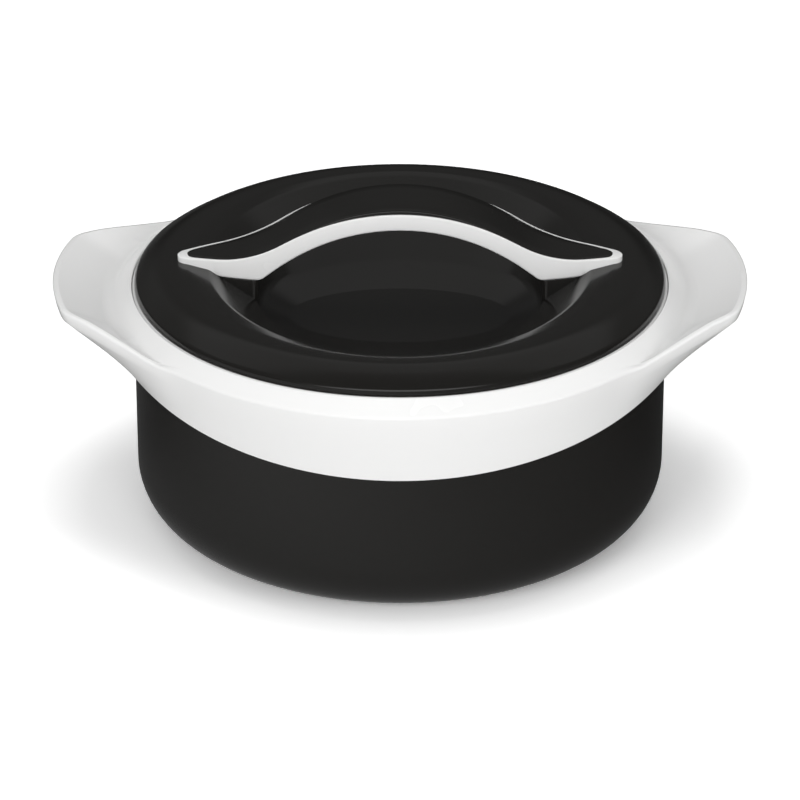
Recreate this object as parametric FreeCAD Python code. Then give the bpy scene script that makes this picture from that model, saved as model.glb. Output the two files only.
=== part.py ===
import FreeCAD, Part
import math
import os

# Round insulated casserole with a lift-off lid. Millimetres, +Z up, the foot ring stands on z = 0.
# X runs through both ears and along the lid's handle. The front of the casserole looks along -Y.

# Body shell
BODY_RADIUS = 110.0
BODY_HEIGHT = 93.0
BODY_WALL = 2.4
BODY_CORNER = 23.5
FOOT_WIDTH = 8.0
FOOT_DEPTH = 1.5
FOOT_SLOPE = 1.5

# Inner bowl
BOWL_INSULATION = 11.0
BOWL_WALL = 0.6
BOWL_CORNER = 18.0
BOWL_FLOOR_Z = 16.0
BOWL_DRAFT = 2.0
BOWL_BEND = 2.0
CURL_RADIUS = 1.5
CURL_END_ANGLE = -150.0

# Collar ring
COLLAR_WALL = 2.2
COLLAR_FIT = 0.3
SEAT_WIDTH = 5.0
COLLAR_RIM_HEIGHT = 6.5
RIM_ROUND = 0.8
FLANGE_WIDTH = 7.3
FLANGE_DROP = 5.6
RIDGE_ROUND = 1.3
SKIRT_DEPTH = 30.1
SKIRT_ARCH = 11.0
GROOVE_WIDTH = 4.0
BOWL_SHELF_WIDTH = 3.0
BOWL_SHELF_DROP = 1.7
LOCATING_DEPTH = 9.0

# Ears of the collar
EAR_REACH = 33.0
EAR_LEAVE_ANGLE = 40.3
EAR_LEAVE_SINK = 0.4
EAR_CORNER = 14.0
EAR_TIP_RADIUS = 120.0
EAR_RISE_START = 98.0
EAR_SLOPE = 14.2
EAR_LEVEL_START = 128.0
EAR_LEVEL_SLOPE = 4.5
EAR_RIM_HEIGHT = 4.2
EAR_KEEL_HEIGHT = 10.0
EAR_KEEL_ANGLES = (72.0, 78.0)
LIP_WIDTH = 3.4
LIP_ROUND = 1.5
DISH_LOW_X = 119.0
DISH_LOW_DROP = 2.6
DISH_INNER_SLOPE = 5.5
DISH_OUTER_SLOPE = 22.5
DISH_ROUND = 30.0
EAR_WALL = 3.0
EAR_HOLLOW_INSET = 5.0

# Lid liner
LINER_GAP = 0.9
LINER_WALL = 2.2
LINER_RIM_WIDTH = 2.0
LINER_SHOW = 1.2
LINER_RIM_HEIGHT = 6.0
LINER_RIM_ROUND = 0.5
PLUG_CLEARANCE = 1.4
PLUG_DEPTH = 18.0
PLUG_CORNER = 6.0

# Lid cover
LID_WALL = 2.2
LID_CREST_HEIGHT = 9.6
LID_EDGE_HEIGHT = 1.0
LID_EDGE_ROUND = 5.0
LID_BROW = 19.0
POCKET_BROW = 2.0
POCKET_RIM_ROUND = 5.0
SHELF_LENGTH = 60.0
SHELF_WIDTH = 66.0
SHELF_DROP = 12.4
WELL_LENGTH = 58.5
WELL_WIDTH = 44.0
WELL_DROP = 20.3
WELL_ROUND = 6.0
PANEL_LENGTH = 45.6
PANEL_WIDTH = 26.0
PANEL_DROP = 25.3

# Handle on the lid
HANDLE_LENGTH = 91.5
HANDLE_HALF_WIDTH = 15.0
HANDLE_STRAIGHT = 38.0
HANDLE_FLANK = 125.0
HANDLE_TOP_RISE = 27.4
HANDLE_TOP_ROUND = 84.0
HANDLE_TOP_SLOPE = 27.0
HANDLE_END_RISE = 2.0
HANDLE_END_SLOPE = 5.0
HANDLE_END_ROUND = 85.0
HANDLE_THICKNESS = 8.4
HANDLE_ARCH_ROUND = 68.0
HANDLE_ARCH_SLOPE = 34.5
HANDLE_FOOT_DROP = 3.8
HANDLE_FOOT_ROUND = 4.0
HANDLE_EDGE = 1.0
HANDLE_LOWER_EDGE = 2.4
PEDESTAL_START = 58.4
PEDESTAL_INSET = 0.6
PEDESTAL_ROUND = 1.2
BOSS_RADIUS = 5.5
BOSS_DROP = 15.3
SCREW_X = 68.0
SCREW_RADIUS = 1.75
SCREW_HOLE_RADIUS = 2.0
SCREW_PILOT_RADIUS = 1.8
SCREW_HEAD_RADIUS = 3.4
SCREW_HEAD_HEIGHT = 2.3
SCREW_BITE = 5.2

# Insert on top of the handle
INSERT_MARGIN = 1.1
INSERT_END_MARGIN = 4.0
INSERT_STRAIGHT = 40.0
INSERT_FLANK = 110.0
INSERT_DEPTH = 2.6
INSERT_PROUD = 0.5
INSERT_EDGE = 1.4
INSERT_FIT = 0.15
PEG_XS = (-36.0, 0.0, 36.0)
PEG_RADIUS = 2.0
PEG_LENGTH = 3.0

# Foam filling plugs
PLUG_RADIUS = 9.0
PLUG_FLANGE = 3.0
PLUG_FLANGE_THICKNESS = 0.9
PLUG_FIT = 0.15
FOAM_FIT = 0.1

# Far enough past any face for a cutting tool
REACH = 300.0

# Heights and radii worked out from the sizes above
FLOOR_Z = FOOT_DEPTH + BODY_WALL
SEAT_Z = BODY_HEIGHT + COLLAR_WALL
RIM_TOP_Z = SEAT_Z + COLLAR_RIM_HEIGHT
RIDGE_Z = RIM_TOP_Z - FLANGE_DROP
SKIRT_Z = RIDGE_Z - SKIRT_DEPTH
SHELF_Z = SEAT_Z - BOWL_SHELF_DROP
GROOVE_Z = SHELF_Z - 2.0 * CURL_RADIUS + BOWL_WALL - 0.5
BODY_INNER = BODY_RADIUS - BODY_WALL
BOWL_OUTER = BODY_INNER - BOWL_INSULATION
BOWL_RADIUS = BOWL_OUTER - BOWL_WALL
BOWL_BASE_RADIUS = BOWL_OUTER - BOWL_DRAFT
SKIRT_INNER = BODY_RADIUS + COLLAR_FIT
SKIRT_RADIUS = SKIRT_INNER + COLLAR_WALL
BORE_RADIUS = BODY_RADIUS + 0.6
RIDGE_RADIUS = BORE_RADIUS + 0.4 + FLANGE_WIDTH
GROOVE_OUTER = BORE_RADIUS - SEAT_WIDTH
GROOVE_INNER = GROOVE_OUTER - GROOVE_WIDTH
LEDGE_RADIUS = GROOVE_INNER - BOWL_SHELF_WIDTH
LINER_RADIUS = BORE_RADIUS - LINER_GAP
LID_RADIUS = LINER_RADIUS - LINER_SHOW
PLUG_OUTER = BOWL_RADIUS - PLUG_CLEARANCE
LINER_TOP_Z = SEAT_Z + LINER_WALL
LINER_FLOOR_Z = SEAT_Z - PLUG_DEPTH
SHOULDER_Z = SEAT_Z + LINER_RIM_HEIGHT
LID_EDGE_Z = SHOULDER_Z + LID_EDGE_HEIGHT
CREST_Z = SHOULDER_Z + LID_CREST_HEIGHT
CREST_RADIUS = LID_RADIUS - LID_BROW
POCKET_RADIUS = CREST_RADIUS - POCKET_BROW
HANDLE_TOP_Z = CREST_Z + HANDLE_TOP_RISE
PEDESTAL_Z = CREST_Z - HANDLE_FOOT_DROP
EAR_TIP_X = BODY_RADIUS + EAR_REACH
SKIRT_TAPER = (RIDGE_RADIUS - SKIRT_RADIUS) / SKIRT_DEPTH
FLANGE_FALL = FLANGE_DROP / FLANGE_WIDTH


def wall_radius(z):
    """Outer radius of the collar's tapering side at a height."""
    return RIDGE_RADIUS - (RIDGE_Z - z) * SKIRT_TAPER


def flange_z(radius):
    """Height of the collar's sloping top at a radius."""
    return RIM_TOP_Z - (radius - BORE_RADIUS - 0.4) * FLANGE_FALL


def rounded_edges(points, place, closed=True):
    """Lines joined by arcs through corners given as (u, w, radius)."""
    count = len(points)
    ends = []
    for i, (u, w, radius) in enumerate(points):
        corner = FreeCAD.Vector(u, w, 0)
        is_end = not closed and i in (0, count - 1)
        if radius == 0 or is_end:
            ends.append((corner, None, corner))
            continue
        before = points[i - 1]
        after = points[(i + 1) % count]
        back = (FreeCAD.Vector(before[0], before[1], 0) - corner).normalize()
        ahead = (FreeCAD.Vector(after[0], after[1], 0) - corner).normalize()
        half = back.getAngle(ahead) / 2.0
        length = radius / math.tan(half)
        inward = (back + ahead).normalize()
        middle = corner + inward * (radius / math.sin(half) - radius)
        ends.append((corner + back * length, middle, corner + ahead * length))
    edges = []
    for i, (start, middle, end) in enumerate(ends):
        if middle is not None:
            edges.append(Part.Arc(place(start), place(middle), place(end)).toShape())
        if i + 1 < count or closed:
            following = ends[(i + 1) % count][0]
            if (following - end).Length > 1e-6:
                edges.append(Part.makeLine(place(end), place(following)))
    return edges


def in_side_view(point):
    """A drawn point (u, w) seen from the front: u along X, w along Z."""
    return FreeCAD.Vector(point.x, 0, point.y)


def revolved(points):
    """Solid of revolution about Z from a closed (radius, z, corner radius) outline."""
    face = Part.Face(Part.Wire(rounded_edges(points, in_side_view)))
    return face.revolve(FreeCAD.Vector(0, 0, 0), FreeCAD.Vector(0, 0, 1), 360)


def across(points):
    """Solid drawn in the front view and extruded both ways along Y."""
    face = Part.Face(Part.Wire(rounded_edges(points, in_side_view)))
    face.translate(FreeCAD.Vector(0, -REACH / 2.0, 0))
    return face.extrude(FreeCAD.Vector(0, REACH, 0))


def cylinder(radius, z_low, z_high, x=0.0, y=0.0):
    return Part.makeCylinder(radius, z_high - z_low, FreeCAD.Vector(x, y, z_low))


def mirrored_x(shape):
    return shape.mirror(FreeCAD.Vector(0, 0, 0), FreeCAD.Vector(1, 0, 0))


def cleaned(shape):
    """One solid with its split faces joined."""
    shape = shape.removeSplitter()
    if len(shape.Solids) == 1:
        return shape.Solids[0]
    return shape


def arc_about(cx, cy, radius, start, end):
    """Arc in plan about a centre, between two angles in radians."""
    points = []
    for angle in (start, (start + end) / 2.0, end):
        x = cx + radius * math.cos(angle)
        y = cy + radius * math.sin(angle)
        points.append(FreeCAD.Vector(x, y, 0))
    return Part.Arc(*points).toShape()


# Body shell with its foot ring and the hole for filling it with foam
def outer_body():
    foot_radius = BODY_RADIUS - BODY_CORNER
    foot_inner = foot_radius - FOOT_WIDTH
    shell = revolved([
        (0, FOOT_DEPTH, 0),
        (foot_inner - FOOT_SLOPE, FOOT_DEPTH, 0),
        (foot_inner, 0, 0),
        (BODY_RADIUS, 0, BODY_CORNER),
        (BODY_RADIUS, BODY_HEIGHT, 0),
        (BODY_INNER, BODY_HEIGHT, 0),
        (BODY_INNER, FLOOR_Z, BODY_CORNER - BODY_WALL),
        (0, FLOOR_Z, 0),
    ])
    return shell.cut(cylinder(PLUG_RADIUS, 0, FLOOR_Z + 1.0))


def filling_plug(face_z, floor_thickness):
    """Push-in plug whose flange lies under a floor that starts at face_z."""
    shank = cylinder(PLUG_RADIUS - PLUG_FIT, face_z, face_z + floor_thickness)
    flange = cylinder(PLUG_RADIUS + PLUG_FLANGE, face_z - PLUG_FLANGE_THICKNESS, face_z)
    return cleaned(shank.fuse(flange))


# Pressed steel bowl with a curled rim that hangs on the collar
def inner_bowl():
    rim_z = SHELF_Z + BOWL_WALL
    curl_x = GROOVE_OUTER - 0.4 - CURL_RADIUS
    curl_z = rim_z - CURL_RADIUS
    bottom = BOWL_FLOOR_Z - BOWL_WALL
    inside = (BOWL_CORNER, BOWL_CORNER + BOWL_WALL)
    outer = rounded_edges([
        (0, bottom, 0),
        (BOWL_BASE_RADIUS, bottom, inside[1]),
        (BOWL_OUTER, SHELF_Z, BOWL_BEND),
        (curl_x, SHELF_Z, 0),
    ], in_side_view, closed=False)
    inner = rounded_edges([
        (0, BOWL_FLOOR_Z, 0),
        (BOWL_BASE_RADIUS - BOWL_WALL, BOWL_FLOOR_Z, inside[0]),
        (BOWL_RADIUS, rim_z, BOWL_BEND + BOWL_WALL),
        (curl_x, rim_z, 0),
    ], in_side_view, closed=False)

    def curl_point(radius, degrees):
        angle = math.radians(degrees)
        return FreeCAD.Vector(curl_x + radius * math.cos(angle), 0, curl_z + radius * math.sin(angle))

    middle = (90.0 + CURL_END_ANGLE) / 2.0
    curl_inner = CURL_RADIUS - BOWL_WALL
    outer_curl = Part.Arc(*[curl_point(CURL_RADIUS, a) for a in (90.0, middle, CURL_END_ANGLE)]).toShape()
    inner_curl = Part.Arc(*[curl_point(curl_inner, a) for a in (90.0, middle, CURL_END_ANGLE)]).toShape()
    end = Part.makeLine(curl_point(CURL_RADIUS, CURL_END_ANGLE), curl_point(curl_inner, CURL_END_ANGLE))
    axis = Part.makeLine(FreeCAD.Vector(0, 0, bottom), FreeCAD.Vector(0, 0, BOWL_FLOOR_Z))
    edges = outer + [inner_curl, end, outer_curl] + inner + [axis]
    face = Part.Face(Part.Wire(Part.__sortEdges__(edges)))
    return face.revolve(FreeCAD.Vector(0, 0, 0), FreeCAD.Vector(0, 0, 1), 360)


# Foam between the body shell and the bowl
def body_insulation():
    outer = BODY_INNER - FOAM_FIT
    inner = BOWL_OUTER + FOAM_FIT
    bottom = BOWL_FLOOR_Z - BOWL_WALL
    step_z = BODY_HEIGHT - LOCATING_DEPTH - FOAM_FIT
    step_radius = BODY_INNER - COLLAR_FIT - COLLAR_WALL - FOAM_FIT
    top_z = GROOVE_Z - COLLAR_WALL - FOAM_FIT
    return revolved([
        (0, FLOOR_Z, 0),
        (outer, FLOOR_Z, BODY_CORNER - BODY_WALL - FOAM_FIT),
        (outer, step_z, 0),
        (step_radius, step_z, 0),
        (step_radius, top_z, 0),
        (inner, top_z, 0),
        (BOWL_BASE_RADIUS + FOAM_FIT, bottom, BOWL_CORNER + BOWL_WALL + FOAM_FIT),
        (0, bottom, 0),
    ])


# Plan of one ear, from the tangent on the front of the ring round the tip to the back
def ear_plan(inset):
    distance = wall_radius(RIDGE_Z) - EAR_LEAVE_SINK - inset
    tip_radius = EAR_TIP_RADIUS - inset
    corner = EAR_CORNER - inset
    leave = math.radians(EAR_LEAVE_ANGLE)
    normal = FreeCAD.Vector(math.sin(leave), math.cos(leave), 0)
    along = FreeCAD.Vector(math.cos(leave), -math.sin(leave), 0)
    tip_centre = FreeCAD.Vector(EAR_TIP_X - EAR_TIP_RADIUS, 0, 0)
    start = normal * (distance - corner) - tip_centre
    half_b = start.dot(along)
    c = start.dot(start) - (tip_radius - corner) ** 2
    centre = normal * (distance - corner) + along * (-half_b + math.sqrt(half_b ** 2 - c))
    outward = (centre - tip_centre).normalize()
    line_angle = math.pi / 2.0 - leave
    tip_angle = math.atan2(outward.y, outward.x)
    foot = normal * distance
    bend = centre + normal * corner
    foot_back = FreeCAD.Vector(foot.x, -foot.y, 0)
    bend_back = FreeCAD.Vector(bend.x, -bend.y, 0)
    return [
        Part.makeLine(foot, bend),
        arc_about(centre.x, centre.y, corner, line_angle, tip_angle),
        arc_about(tip_centre.x, 0, tip_radius, tip_angle, -tip_angle),
        arc_about(centre.x, -centre.y, corner, -tip_angle, -line_angle),
        Part.makeLine(bend_back, foot_back),
        Part.makeLine(foot_back, foot),
    ]


def keel_plan(inset):
    """Where an ear's underside runs into the ring, with as many edges as the ear's plan."""
    z = RIDGE_Z - 2.0 * EAR_KEEL_HEIGHT
    radius = wall_radius(z) - EAR_LEAVE_SINK - inset
    angles = [90.0 - EAR_LEAVE_ANGLE] + [90.0 - a for a in EAR_KEEL_ANGLES]
    angles = [math.radians(a) for a in angles]
    angles = angles + [-a for a in reversed(angles)]
    edges = [arc_about(0, 0, radius, a, b) for a, b in zip(angles, angles[1:])]
    first = FreeCAD.Vector(radius * math.cos(angles[0]), radius * math.sin(angles[0]), 0)
    last = FreeCAD.Vector(first.x, -first.y, 0)
    edges.append(Part.makeLine(last, first))
    wire = Part.Wire(edges)
    wire.translate(FreeCAD.Vector(0, 0, z))
    return wire


def tilted(wire, drop):
    """The plan moved onto the slanting plane that lies a little below the ear's lip."""
    rise = math.tan(math.radians(EAR_SLOPE)) * 0.8
    low = RIDGE_Z - drop - EAR_RISE_START * rise
    matrix = FreeCAD.Matrix(1, 0, 0, 0, 0, 1, 0, 0, rise, 0, 1, low, 0, 0, 0, 1)
    return wire.transformGeometry(matrix)


def ear_block(inset, drop):
    """An ear without its lip and dish: a keel that widens upwards, and an upright rim."""
    seam = tilted(Part.Wire(ear_plan(inset)), drop)
    keel = Part.makeLoft([keel_plan(inset), seam], True, True)
    rim = Part.Face(seam).extrude(FreeCAD.Vector(0, 0, 3.0 * EAR_RISE_HEIGHT))
    return cleaned(keel.fuse(rim))


# Rise of the lip from the ring to the ear's tip, for tool heights
EAR_RISE_HEIGHT = (EAR_LEVEL_START - EAR_RISE_START) * math.tan(math.radians(EAR_SLOPE))


def above_line(points, radius):
    """Everything above a bent line drawn in the front view."""
    top = RIM_TOP_Z + REACH
    (x0, z0), (x1, z1), (x2, z2) = points
    return across([(x0, z0, 0), (x1, z1, radius), (x2, z2, 0), (x2, top, 0), (x0, top, 0)])


def above_lip():
    """Everything above the lip of an ear: level by the ring, then rising, then nearly level."""
    rise_end = RIDGE_Z + EAR_RISE_HEIGHT
    far = EAR_LEVEL_START + 100.0
    far_z = rise_end + 100.0 * math.tan(math.radians(EAR_LEVEL_SLOPE))
    return across([
        (0, RIDGE_Z, 0),
        (EAR_RISE_START, RIDGE_Z, 40.0),
        (EAR_LEVEL_START, rise_end, 60.0),
        (far, far_z, 0),
        (far, RIM_TOP_Z + REACH, 0),
        (0, RIM_TOP_Z + REACH, 0),
    ])


def above_dish(drop):
    """Everything above the dished top of an ear, or above its underside."""
    low_z = RIDGE_Z - DISH_LOW_DROP - drop
    inner = low_z + DISH_LOW_X * math.tan(math.radians(DISH_INNER_SLOPE))
    far = 100.0
    outer = low_z + far * math.tan(math.radians(DISH_OUTER_SLOPE))
    return above_line([(0, inner), (DISH_LOW_X, low_z), (DISH_LOW_X + far, outer)], DISH_ROUND)


def top_edges(shape, above):
    """Edges of a solid that lie on its top face, found by being higher than a height."""
    return [edge for edge in shape.Edges if edge.BoundBox.ZMin > above]


def ear():
    """One ear as it meets the ring: keel, rounded lip and dished top."""
    block = cleaned(ear_block(0.0, EAR_RIM_HEIGHT).cut(above_lip()))
    lip = [e for e in block.Edges if e.BoundBox.ZMin > RIDGE_Z - 0.5 and e.BoundBox.XMax > EAR_RISE_START]
    block = block.makeFillet(LIP_ROUND, lip)
    dish = Part.Face(Part.Wire(ear_plan(LIP_WIDTH))).extrude(FreeCAD.Vector(0, 0, REACH))
    apron = revolved([
        (0, 0, 0),
        (EAR_TIP_X, 0, 0),
        (EAR_TIP_X, flange_z(EAR_TIP_X), 0),
        (BORE_RADIUS, flange_z(BORE_RADIUS), 0),
        (0, flange_z(BORE_RADIUS), 0),
    ])
    dish = dish.common(above_dish(0.0)).cut(apron)
    return block.cut(dish)


def ear_hollow():
    """The space inside an ear, open to the space behind the skirt."""
    space = ear_block(EAR_HOLLOW_INSET, EAR_RIM_HEIGHT).cut(above_dish(EAR_WALL))
    bore_wall = cylinder(BORE_RADIUS + COLLAR_WALL, 0, RIM_TOP_Z + 1.0)
    return space.cut(bore_wall)


# Collar ring with both ears in one moulding
def handle_collar():
    low_z = SKIRT_Z - 5.0
    envelope = revolved([
        (0, low_z, 0),
        (wall_radius(low_z), low_z, 0),
        (RIDGE_RADIUS, RIDGE_Z, RIDGE_ROUND),
        (BORE_RADIUS + 0.4, RIM_TOP_Z, 0),
        (0, RIM_TOP_Z, 0),
    ])
    right = ear()
    outside = envelope.fuse([right, mirrored_x(right)])
    arch_radius = (BODY_RADIUS ** 2 + SKIRT_ARCH ** 2) / (2.0 * SKIRT_ARCH)
    arch_z = SKIRT_Z + arch_radius
    arch = Part.makeCylinder(
        arch_radius, 2.0 * REACH, FreeCAD.Vector(0, -REACH, arch_z), FreeCAD.Vector(0, 1, 0)
    )
    outside = outside.common(arch)
    hollow_top = RIDGE_Z - 1.2 * COLLAR_WALL
    bore_wall = BORE_RADIUS + COLLAR_WALL
    locating_outer = BODY_INNER - COLLAR_FIT
    locating_inner = locating_outer - COLLAR_WALL
    locating_z = BODY_HEIGHT - LOCATING_DEPTH
    groove_under = GROOVE_Z - COLLAR_WALL
    inside = revolved([
        (0, low_z - 1.0, 0),
        (wall_radius(low_z - 1.0) - COLLAR_WALL, low_z - 1.0, 0),
        (wall_radius(hollow_top) - COLLAR_WALL, hollow_top, 0),
        (bore_wall, flange_z(bore_wall) - COLLAR_WALL, 0),
        (bore_wall, BODY_HEIGHT, 0),
        (locating_outer, BODY_HEIGHT, 0),
        (locating_outer, locating_z, 0),
        (locating_inner, locating_z, 0),
        (locating_inner, groove_under, 0),
        (LEDGE_RADIUS, groove_under, 0),
        (LEDGE_RADIUS, SHELF_Z, 0),
        (GROOVE_INNER, SHELF_Z, 0),
        (GROOVE_INNER, GROOVE_Z, 0),
        (GROOVE_OUTER, GROOVE_Z, 0),
        (GROOVE_OUTER, SEAT_Z, 0),
        (BORE_RADIUS, SEAT_Z, 0),
        (BORE_RADIUS, RIM_TOP_Z + 1.0, 0),
        (0, RIM_TOP_Z + 1.0, 0),
    ])
    space = ear_hollow()
    collar = outside.cut([inside, space, mirrored_x(space)])
    return cleaned(collar)


# Lid cover: a rounded brow, a round basin with an oval well, and two pedestals for the handle
def dome(offset, z_low):
    """Solid under the cover's brow, moved inwards by an offset and cut level at z_low."""
    edge_radius = LID_EDGE_ROUND - offset
    dx = LID_RADIUS - LID_EDGE_ROUND - CREST_RADIUS
    dz = CREST_Z - LID_EDGE_Z
    crown = (dx ** 2 + dz ** 2 - LID_EDGE_ROUND ** 2) / (2.0 * (dz - LID_EDGE_ROUND))
    crown_z = CREST_Z - crown
    meet = math.atan2(LID_EDGE_Z - crown_z, dx)
    top = CREST_Z - offset
    side = LID_RADIUS - offset

    def on_arc(cx, cz, radius, angle):
        return FreeCAD.Vector(cx + radius * math.cos(angle), 0, cz + radius * math.sin(angle))

    crown_mid = (math.pi / 2.0 + meet) / 2.0
    joint = on_arc(CREST_RADIUS, crown_z, crown - offset, meet)
    edge_x = LID_RADIUS - LID_EDGE_ROUND
    edges = [
        Part.makeLine(FreeCAD.Vector(0, 0, top), FreeCAD.Vector(CREST_RADIUS, 0, top)),
        Part.Arc(
            FreeCAD.Vector(CREST_RADIUS, 0, top),
            on_arc(CREST_RADIUS, crown_z, crown - offset, crown_mid),
            joint,
        ).toShape(),
        Part.Arc(
            joint, on_arc(edge_x, LID_EDGE_Z, edge_radius, meet / 2.0), FreeCAD.Vector(side, 0, LID_EDGE_Z)
        ).toShape(),
        Part.makeLine(FreeCAD.Vector(side, 0, LID_EDGE_Z), FreeCAD.Vector(side, 0, z_low)),
        Part.makeLine(FreeCAD.Vector(side, 0, z_low), FreeCAD.Vector(0, 0, z_low)),
        Part.makeLine(FreeCAD.Vector(0, 0, z_low), FreeCAD.Vector(0, 0, top)),
    ]
    face = Part.Face(Part.Wire(edges))
    return face.revolve(FreeCAD.Vector(0, 0, 0), FreeCAD.Vector(0, 0, 1), 360)


def oval(length, width, z):
    """Closed oval curve whose half axes are length and width."""
    matrix = FreeCAD.Matrix(length, 0, 0, 0, 0, width, 0, 0, 0, 0, 1, z, 0, 0, 0, 1)
    return Part.Wire(Part.makeCircle(1.0).transformGeometry(matrix))


def basin(grow):
    """The hollow in the top of the lid, or the hollow plus the cover's wall."""
    over = 4.0
    slope_x = (POCKET_RADIUS - SHELF_LENGTH) / SHELF_DROP
    slope_y = (POCKET_RADIUS - SHELF_WIDTH) / SHELF_DROP
    sections = [
        oval(POCKET_RADIUS + over * slope_x + grow, POCKET_RADIUS + over * slope_y + grow, CREST_Z + over - grow),
        oval(SHELF_LENGTH + grow, SHELF_WIDTH + grow, CREST_Z - SHELF_DROP - grow),
        oval(WELL_LENGTH + grow, WELL_WIDTH + grow, CREST_Z - WELL_DROP - grow),
        oval(PANEL_LENGTH + grow, PANEL_WIDTH + grow, CREST_Z - PANEL_DROP - grow),
    ]
    return Part.makeLoft(sections, True, True)


def leaf(length, half_width, straight, flank):
    """Face in plan shaped like a long leaf: straight middle, curved flanks, round tips."""
    reach = length - straight
    tip = (2.0 * flank * half_width - half_width ** 2 - reach ** 2) / (2.0 * (flank - reach))
    turn = math.asin((reach - tip) / (flank - tip))
    quarter = math.pi / 2.0
    edges = []
    for side in (1, -1):
        a = 0.0 if side == 1 else math.pi
        cx = side * straight
        cy = side * (half_width - flank)
        edges.append(arc_about(cx, cy, flank, a + quarter, a + quarter - turn))
        edges.append(arc_about(side * (length - tip), 0, tip, a + quarter - turn, a - quarter + turn))
        edges.append(arc_about(cx, -cy, flank, a - quarter + turn, a - quarter))
        start = FreeCAD.Vector(side * straight, -side * half_width, 0)
        end = FreeCAD.Vector(-side * straight, -side * half_width, 0)
        edges.append(Part.makeLine(start, end))
    return Part.Face(Part.Wire(edges))


def handle_leaf(inset):
    return leaf(HANDLE_LENGTH - inset, HANDLE_HALF_WIDTH - inset, HANDLE_STRAIGHT, HANDLE_FLANK - inset)


def pedestals():
    """Blocks that carry the handle's ends, as far down as the underside of the basin's wall."""
    block = handle_leaf(PEDESTAL_INSET).extrude(FreeCAD.Vector(0, 0, PEDESTAL_Z))
    middle = Part.makeBox(
        2.0 * PEDESTAL_START, REACH, REACH, FreeCAD.Vector(-PEDESTAL_START, -REACH / 2.0, -REACH / 2.0)
    )
    block = block.cut(middle)
    corners = [
        e for e in block.Edges
        if e.BoundBox.ZLength > 1.0 and abs(abs(e.BoundBox.XMin) - PEDESTAL_START) < 0.01
        and e.BoundBox.XLength < 0.01 and e.BoundBox.YLength < 0.01
    ]
    return block.makeFillet(PEDESTAL_ROUND, corners)


def lid_cover():
    wall = basin(LID_WALL).common(dome(0.0, LINER_FLOOR_Z))
    tongue = cylinder(LINER_RADIUS - LINER_RIM_WIDTH, LINER_TOP_Z, SHOULDER_Z)
    cover = dome(0.0, SHOULDER_Z).fuse(tongue).cut(dome(LID_WALL, LINER_TOP_Z - 1.0))
    cover = cover.fuse(wall).cut(basin(0.0))
    rim = [
        e for e in cover.Edges
        if e.BoundBox.ZMin > CREST_Z - 0.01 and abs(e.BoundBox.XMax - POCKET_RADIUS) < 0.05
    ]
    cover = cover.makeFillet(POCKET_RIM_ROUND, rim)
    cover = cover.fuse(pedestals().common(basin(LID_WALL)).common(dome(0.0, LINER_FLOOR_Z)))
    for x in (-SCREW_X, SCREW_X):
        boss = cylinder(BOSS_RADIUS, CREST_Z - BOSS_DROP, PEDESTAL_Z - 3.0, x)
        cover = cover.fuse(boss)
    for x in (-SCREW_X, SCREW_X):
        cover = cover.cut(cylinder(SCREW_HOLE_RADIUS, LINER_FLOOR_Z, REACH, x))
    return cover.Solids[0]


# White liner under the lid: a rim that shows round the cover, and a plug that drops into the bowl
def lid_liner():
    rim_inner = LINER_RADIUS - LINER_RIM_WIDTH + 0.15
    inner = PLUG_OUTER - LINER_WALL
    floor_top = LINER_FLOOR_Z + LINER_WALL
    liner = revolved([
        (0, LINER_FLOOR_Z, 0),
        (PLUG_OUTER, LINER_FLOOR_Z, PLUG_CORNER),
        (PLUG_OUTER, SEAT_Z, 0),
        (LINER_RADIUS, SEAT_Z, 0),
        (LINER_RADIUS, SHOULDER_Z, LINER_RIM_ROUND),
        (rim_inner, SHOULDER_Z, 0),
        (rim_inner, LINER_TOP_Z, 0),
        (inner, LINER_TOP_Z, 0),
        (inner, floor_top, PLUG_CORNER - LINER_WALL),
        (0, floor_top, 0),
    ])
    return liner.cut(cylinder(PLUG_RADIUS, LINER_FLOOR_Z - 1.0, floor_top + 1.0))


# Foam between the lid's cover and liner
def lid_insulation():
    inner = PLUG_OUTER - LINER_WALL - FOAM_FIT
    floor_top = LINER_FLOOR_Z + LINER_WALL
    low = cylinder(inner, floor_top, LINER_TOP_Z + 1.0)
    bottom = [e for e in low.Edges if e.BoundBox.ZMax < floor_top + 0.01]
    low = low.makeFillet(PLUG_CORNER - LINER_WALL + FOAM_FIT, bottom)
    high = dome(LID_WALL + FOAM_FIT, LINER_TOP_Z)
    foam = low.fuse(high).cut(basin(LID_WALL + FOAM_FIT))
    for x in (-SCREW_X, SCREW_X):
        room = cylinder(BOSS_RADIUS + 0.5, CREST_Z - BOSS_DROP - SCREW_HEAD_HEIGHT - 0.5, CREST_Z, x)
        foam = foam.cut(room)
    solids = sorted(foam.Solids, key=lambda solid: solid.Volume)
    return cleaned(solids[-1])


# Handle bow: drawn from the side, trimmed by its plan, seated on the cover
def top_line(raise_by):
    """Bent line along the top of the handle from end to end, as (x, z, radius)."""
    slope = math.tan(math.radians(HANDLE_TOP_SLOPE))
    end_slope = math.tan(math.radians(HANDLE_END_SLOPE))
    apex = HANDLE_TOP_Z + HANDLE_TOP_ROUND * (1.0 / math.cos(math.radians(HANDLE_TOP_SLOPE)) - 1.0)
    end_z = CREST_Z + HANDLE_END_RISE
    knee = (apex - end_z - end_slope * HANDLE_LENGTH) / (slope - end_slope)
    knee_z = apex - slope * knee
    far = HANDLE_LENGTH + 5.0
    far_z = end_z - 5.0 * end_slope
    half = [(knee, knee_z + raise_by, HANDLE_END_ROUND), (far, far_z + raise_by, 0)]
    left = [(-x, z, r) for x, z, r in reversed(half)]
    return left + [(0, apex + raise_by, HANDLE_TOP_ROUND)] + half


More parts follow.
